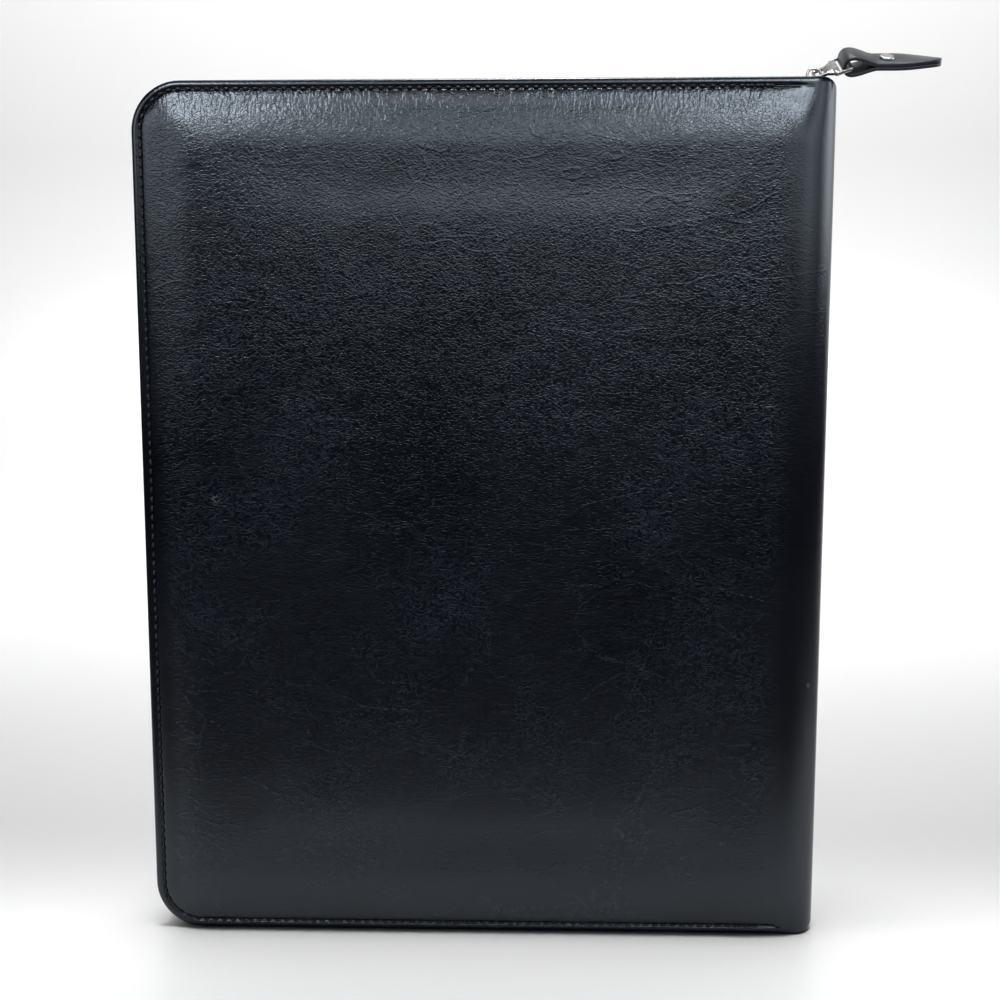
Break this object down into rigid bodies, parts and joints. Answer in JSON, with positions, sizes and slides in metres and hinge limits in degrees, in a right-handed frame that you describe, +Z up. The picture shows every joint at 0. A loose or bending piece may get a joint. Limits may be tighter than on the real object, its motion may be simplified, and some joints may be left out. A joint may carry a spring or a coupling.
{
  "type": "zippered padfolio",
  "caption": "Soft-cover writing-pad folio: two padded grained covers folding on a soft spine, closed by a zip with a metal loop and leather tab, with a pad and pockets inside.",
  "frame": {"origin": "foot of the spine: on the spine's outer face, halfway through the thickness, at the lower edge", "axes": "+Z up the height, -X from the spine to the fore edge, -Y out of the back cover"},
  "size_m": [0.3052, 0.03, 0.3476],
  "materials": {
    "cover_leatherette": "glossy grained leatherette over foam",
    "inner_leatherette": "matte grained leatherette",
    "tab_leather": "satin leatherette with painted edges",
    "foam": "soft polyurethane foam",
    "board": "grey binder's board",
    "lining": "fine woven nylon",
    "zip_tape": "woven polyester tape",
    "zip_teeth": "moulded black nylon",
    "pull_metal": "bright nickel plate",
    "rivet_metal": "satin nickel plate",
    "backing_card": "plain grey-brown card",
    "pad_paper": "ruled writing paper",
    "pad_binding": "dark binding strip",
    "elastic": "ribbed elastic webbing",
    "stiffener": "thin flexible sheet"
  },
  "bodies": {
    "back_cover": {"back_cover_skin": "cover_leatherette", "back_cover_foam": "foam", "back_cover_board": "board", "back_cover_lining": "lining", "back_zip_tape": "zip_tape", "back_zip_teeth": "zip_teeth", "back_zip_stop": "pull_metal", "pad_sleeve": "inner_leatherette", "pad_backing_card": "backing_card", "pad_sheets": "pad_paper", "pad_binding": "pad_binding", "pen_loop": "elastic"},
    "spine": {"spine_skin": "cover_leatherette", "spine_stiffener": "stiffener", "spine_lining": "lining"},
    "front_cover": {"front_cover_skin": "cover_leatherette", "front_cover_foam": "foam", "front_cover_board": "board", "front_cover_lining": "lining", "front_zip_tape": "zip_tape", "front_zip_teeth": "zip_teeth", "front_zip_stop": "pull_metal", "document_pocket": "inner_leatherette", "card_pocket_1": "inner_leatherette", "card_pocket_2": "inner_leatherette", "card_pocket_3": "inner_leatherette"},
    "zip_slider": {"zip_slider": "pull_metal"},
    "pull_loop": {"pull_loop": "pull_metal"},
    "pull_tab": {"pull_tab": "tab_leather", "pull_rivet_cap": "rivet_metal", "pull_rivet_back": "rivet_metal"}
  },
  "joints": [
    {"name": "spine_fold", "type": "hinge", "parent": "back_cover", "child": "spine", "pos_m": [-0.00194, -0.00906, 0.1675], "axis": [0, 0, -1], "range_deg": [0, 90]},
    {"name": "cover_fold", "type": "hinge", "parent": "spine", "child": "front_cover", "pos_m": [-0.00194, 0.00906, 0.1675], "axis": [0, 0, -1], "range_deg": [0, 90]},
    {"name": "slider_travel", "type": "slide", "parent": "back_cover", "child": "zip_slider", "axis": [-1, 0, 0], "range_m": [0, 0.2305]},
    {"name": "loop_swing", "type": "hinge", "parent": "zip_slider", "child": "pull_loop", "pos_m": [-0.008, 0, 0.33745], "axis": [0, -0.848, -0.5299], "range_deg": [0, 100]},
    {"name": "tab_swing", "type": "hinge", "parent": "pull_loop", "child": "pull_tab", "pos_m": [0.00424, -0.00262, 0.34164], "axis": [0, -0.848, -0.5299], "range_deg": [0, 70]}
  ]
}
